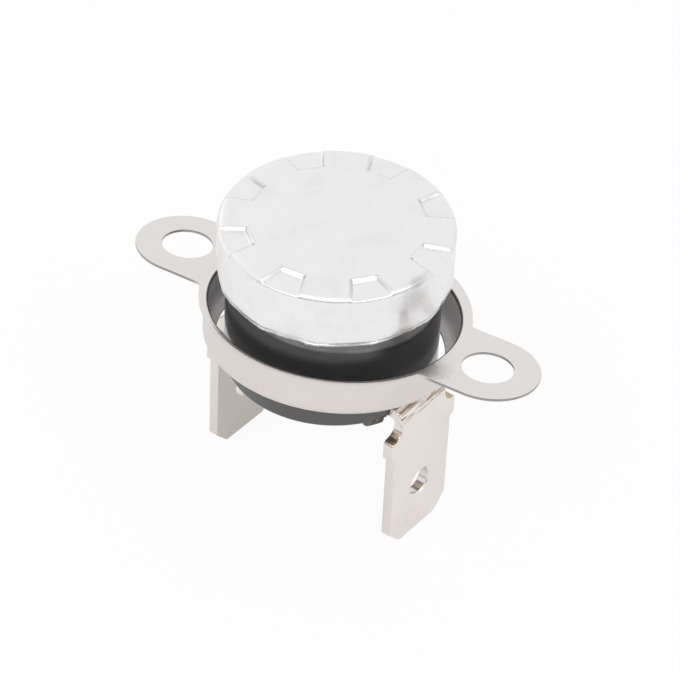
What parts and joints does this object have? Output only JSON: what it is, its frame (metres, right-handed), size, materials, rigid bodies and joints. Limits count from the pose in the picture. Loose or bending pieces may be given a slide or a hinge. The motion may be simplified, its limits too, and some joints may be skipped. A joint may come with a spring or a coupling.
{
  "type": "thermal cutout",
  "caption": "Round snap-disc thermal cutout: aluminium cap crimped on a black housing, loose eared steel bracket round it, and two push-on tabs below.",
  "frame": {"origin": "centre of the cap's flat sensing face", "axes": "+Z out of the sensing face along the housing's axis, +X along the line of the two tabs towards the right tab"},
  "size_m": [0.031, 0.0189, 0.0231],
  "materials": {
    "cap_aluminium": "satin",
    "black_phenolic": "gloss",
    "bracket_steel": "satin",
    "nickel_plate": "satin",
    "bimetal": "satin",
    "insulation": "matte",
    "ceramic": "satin",
    "spring_bronze": "satin",
    "brass": "satin",
    "contact_silver": "satin"
  },
  "bodies": {
    "housing": {"cap": "cap_aluminium", "base": "black_phenolic", "guide_plate": "insulation", "bimetal_disc": "bimetal", "contact_strip": "brass", "fixed_contact": "contact_silver", "left_rivet": "brass", "right_rivet": "brass", "left_terminal": "nickel_plate", "right_terminal": "nickel_plate"},
    "loose_bracket": {"bracket": "bracket_steel"},
    "pin": {"push_pin": "ceramic"},
    "spring_arm": {"moving_arm": "spring_bronze", "moving_contact": "contact_silver"}
  },
  "joints": [
    {"name": "bracket_swivel", "type": "hinge", "parent": "housing", "child": "loose_bracket", "pos_m": [0.00014, 0.00004, -0.0074], "axis": [-0.0182, 0.1293, 0.9914], "continuous": true},
    {"name": "pin_slide", "type": "slide", "parent": "housing", "child": "pin", "axis": [0, 0, -1], "range_m": [0, 0.0003], "deforming": ["bimetal_disc"]},
    {"name": "arm_hinge", "type": "hinge", "parent": "housing", "child": "spring_arm", "pos_m": [-0.00458, 0, -0.00777], "axis": [0, 1, 0], "range_deg": [0, 3.9]}
  ],
  "couplings": [
    {"joint": "arm_hinge", "follows": "pin_slide", "rad_per_m": 218.47}
  ]
}
